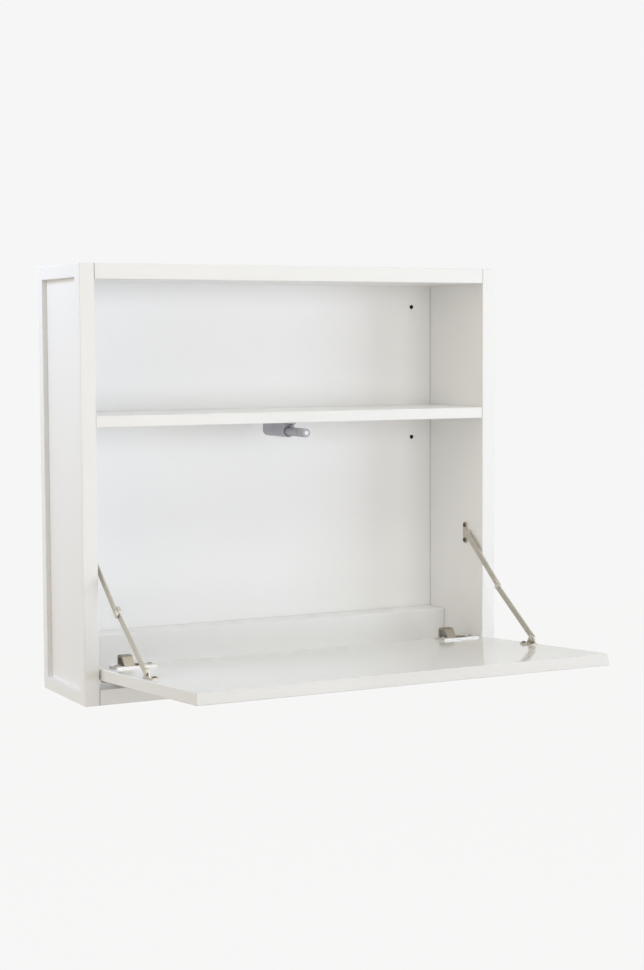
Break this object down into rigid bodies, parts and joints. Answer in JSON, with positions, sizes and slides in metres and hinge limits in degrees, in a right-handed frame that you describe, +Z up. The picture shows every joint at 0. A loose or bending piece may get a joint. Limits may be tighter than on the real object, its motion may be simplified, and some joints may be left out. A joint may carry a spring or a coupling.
{
  "type": "fold down wall desk",
  "caption": "Shallow white wall cabinet with an open shelf and a drop flap on cup hinges that folding stays hold out as a writing surface; a push latch springs it open.",
  "frame": {"origin": "middle of the four wall screw holes, on the rear plane that lies against the wall", "axes": "+X to the right seen from the front, +Y into the wall, +Z up"},
  "size_m": [0.65, 0.4926, 0.596],
  "materials": {
    "carcass_lacquer": "white satin lacquer",
    "flap_lacquer": "white gloss lacquer",
    "dowel_beech": "plain beech",
    "hinge_nickel": "nickel plated",
    "stay_nickel": "nickel plated",
    "rivet_nickel": "bright nickel",
    "screw_steel": "zinc plated",
    "latch_plastic": "moulded grey",
    "latch_tip_white": "soft white"
  },
  "bodies": {
    "carcass": {"left_front_stile": "carcass_lacquer", "left_rear_stile": "carcass_lacquer", "left_side_top_rail": "carcass_lacquer", "left_side_bottom_rail": "carcass_lacquer", "left_side_panel": "carcass_lacquer", "left_hinge_arm": "hinge_nickel", "left_hinge_plate": "hinge_nickel", "left_stay_side_bracket": "stay_nickel", "right_front_stile": "carcass_lacquer", "right_rear_stile": "carcass_lacquer", "right_side_top_rail": "carcass_lacquer", "right_side_bottom_rail": "carcass_lacquer", "right_side_panel": "carcass_lacquer", "right_hinge_arm": "hinge_nickel", "right_hinge_plate": "hinge_nickel", "right_stay_side_bracket": "stay_nickel", "top_panel": "carcass_lacquer", "bottom_panel": "carcass_lacquer", "shelf": "carcass_lacquer", "back_panel": "carcass_lacquer", "ledge_riser": "carcass_lacquer", "ledge_top": "carcass_lacquer", "wood_dowels": "dowel_beech", "hinge_plate_screws": "screw_steel", "hinge_arm_screws": "screw_steel", "stay_side_rivets": "rivet_nickel", "stay_side_screws": "screw_steel", "latch_housing": "latch_plastic", "latch_screws": "screw_steel"},
    "flap": {"flap": "flap_lacquer", "left_hinge_cup": "hinge_nickel", "left_hinge_pin": "hinge_nickel", "left_stay_flap_bracket": "stay_nickel", "right_hinge_cup": "hinge_nickel", "right_hinge_pin": "hinge_nickel", "right_stay_flap_bracket": "stay_nickel", "hinge_cup_screws": "screw_steel", "stay_flap_rivets": "rivet_nickel", "stay_flap_screws": "screw_steel"},
    "left_upper_arm": {"left_stay_upper_arm": "stay_nickel", "left_stay_upper_rivet": "rivet_nickel"},
    "left_lower_arm": {"left_stay_lower_arm": "stay_nickel", "left_stay_lower_rivet": "rivet_nickel"},
    "right_upper_arm": {"right_stay_upper_arm": "stay_nickel", "right_stay_upper_rivet": "rivet_nickel"},
    "right_lower_arm": {"right_stay_lower_arm": "stay_nickel", "right_stay_lower_rivet": "rivet_nickel"},
    "latch_plunger": {"latch_tube": "latch_plastic", "latch_cap": "latch_plastic", "latch_tip": "latch_tip_white"}
  },
  "joints": [
    {"name": "flap_hinge", "type": "hinge", "parent": "carcass", "child": "flap", "pos_m": [0, -0.16, -0.40133], "axis": [-1, 0, 0], "range_deg": [0, 86.36]},
    {"name": "left_upper_arm_pivot", "type": "hinge", "parent": "carcass", "child": "left_upper_arm", "pos_m": [-0.2997, -0.132, -0.241], "axis": [1, 0, 0], "range_deg": [0, 60.73]},
    {"name": "left_lower_arm_pivot", "type": "hinge", "parent": "flap", "child": "left_lower_arm", "pos_m": [-0.2972, -0.31551, -0.3745], "axis": [-1, 0, 0], "range_deg": [0, 22.79]},
    {"name": "right_upper_arm_pivot", "type": "hinge", "parent": "carcass", "child": "right_upper_arm", "pos_m": [0.2997, -0.132, -0.241], "axis": [1, 0, 0], "range_deg": [0, 60.73]},
    {"name": "right_lower_arm_pivot", "type": "hinge", "parent": "flap", "child": "right_lower_arm", "pos_m": [0.2972, -0.31551, -0.3745], "axis": [-1, 0, 0], "range_deg": [0, 22.79]},
    {"name": "latch_plunge", "type": "slide", "parent": "carcass", "child": "latch_plunger", "axis": [0, 1, 0], "range_m": [0, 0.0388], "stiffness_N_per_m": 100}
  ],
  "couplings": [
    {"joint": "left_upper_arm_pivot", "follows": "flap_hinge", "ratio": 0.70328},
    {"joint": "left_lower_arm_pivot", "follows": "flap_hinge", "ratio": 0.26384},
    {"joint": "right_upper_arm_pivot", "follows": "flap_hinge", "ratio": 0.70328},
    {"joint": "right_lower_arm_pivot", "follows": "flap_hinge", "ratio": 0.26384},
    {"joint": "latch_plunge", "follows": "flap_hinge", "m_per_rad": 0.025742}
  ]
}
